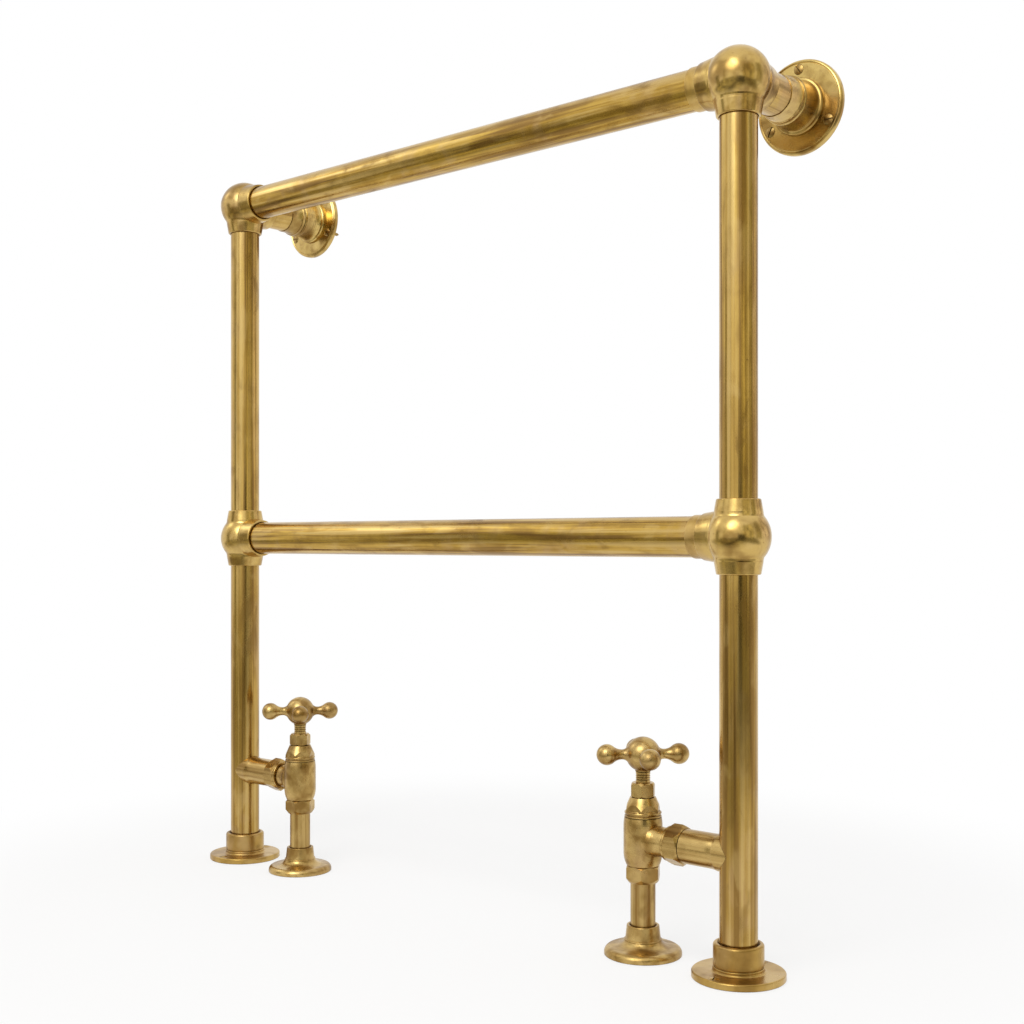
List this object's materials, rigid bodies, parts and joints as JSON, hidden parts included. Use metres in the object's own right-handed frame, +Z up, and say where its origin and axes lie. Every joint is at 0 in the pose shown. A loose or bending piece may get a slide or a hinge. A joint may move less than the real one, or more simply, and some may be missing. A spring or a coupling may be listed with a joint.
{
  "type": "heated towel rail",
  "caption": "Floor-standing tubular brass towel warmer with two rails, ball corner fittings, wall stays, round floor plates and cross-head supply valves.",
  "frame": {"origin": "centre of the footprint on the floor, midway between the posts and midway between the front of the floor plates and the tips of the wall screws", "axes": "+Z up, +X along the rails to the right seen from the front, +Y towards the wall"},
  "size_m": [0.8836, 0.1854, 0.9348],
  "materials": {
    "tube_brass": "satin polished, unlacquered, lightly tarnished",
    "cast_brass": "polished casting with light tarnish",
    "valve_brass": "satin, aged",
    "screw_metal": "dark, aged",
    "copper_pipe": "plain drawn copper",
    "rubber_washer": "matt",
    "fibre_washer": "matt vulcanised fibre",
    "gland_packing": "matt graphited packing"
  },
  "bodies": {
    "frame": {"top_rail": "tube_brass", "mid_rail": "tube_brass", "top_rail_ferrule": "cast_brass", "mid_rail_ferrule": "cast_brass", "left_floor_flange": "cast_brass", "right_floor_flange": "cast_brass", "left_floor_screws": "screw_metal", "right_floor_screws": "screw_metal", "left_post_plug": "valve_brass", "right_post_plug": "valve_brass", "left_lower_post": "tube_brass", "right_lower_post": "tube_brass", "left_mid_ball": "cast_brass", "right_mid_ball": "cast_brass", "left_upper_post": "tube_brass", "right_upper_post": "tube_brass", "left_top_ball": "cast_brass", "right_top_ball": "cast_brass", "left_wall_stay": "tube_brass", "right_wall_stay": "tube_brass", "left_wall_flange": "cast_brass", "right_wall_flange": "cast_brass", "left_wall_screws": "screw_metal", "right_wall_screws": "screw_metal", "left_branch": "tube_brass", "right_branch": "tube_brass", "left_union_washer": "fibre_washer", "right_union_washer": "fibre_washer", "left_union_nut": "valve_brass", "right_union_nut": "valve_brass", "left_union_tail": "valve_brass", "right_union_tail": "valve_brass", "left_valve_body": "valve_brass", "right_valve_body": "valve_brass", "left_bonnet": "valve_brass", "right_bonnet": "valve_brass", "left_gland_packing": "gland_packing", "right_gland_packing": "gland_packing", "left_gland_nut": "valve_brass", "right_gland_nut": "valve_brass", "left_inlet_nut": "valve_brass", "right_inlet_nut": "valve_brass", "left_inlet_olive": "valve_brass", "right_inlet_olive": "valve_brass", "left_supply_pipe": "copper_pipe", "right_supply_pipe": "copper_pipe", "left_pipe_sleeve": "tube_brass", "right_pipe_sleeve": "tube_brass", "left_rosette": "cast_brass", "right_rosette": "cast_brass"},
    "left_jumper_set": {"left_jumper": "valve_brass", "left_jumper_washer": "rubber_washer"},
    "left_spindle_set": {"left_spindle": "valve_brass", "left_handle": "cast_brass"},
    "right_jumper_set": {"right_jumper": "valve_brass", "right_jumper_washer": "rubber_washer"},
    "right_spindle_set": {"right_spindle": "valve_brass", "right_handle": "cast_brass"}
  },
  "joints": [
    {"name": "left_valve_turn", "type": "hinge", "parent": "left_jumper_set", "child": "left_spindle_set", "pos_m": [-0.276, -0.04625, 0.208], "axis": [0, 0, 1], "range_deg": [-540, 360]},
    {"name": "left_valve_lift", "type": "slide", "parent": "frame", "child": "left_jumper_set", "axis": [0, 0, 1], "range_m": [-0.003, 0.002]},
    {"name": "right_valve_turn", "type": "hinge", "parent": "right_jumper_set", "child": "right_spindle_set", "pos_m": [0.276, -0.04625, 0.208], "axis": [0, 0, 1], "range_deg": [-540, 360]},
    {"name": "right_valve_lift", "type": "slide", "parent": "frame", "child": "right_jumper_set", "axis": [0, 0, 1], "range_m": [-0.003, 0.002]}
  ],
  "couplings": [
    {"joint": "left_valve_lift", "follows": "left_valve_turn", "m_per_rad": 0.00031831},
    {"joint": "right_valve_lift", "follows": "right_valve_turn", "m_per_rad": 0.00031831}
  ]
}
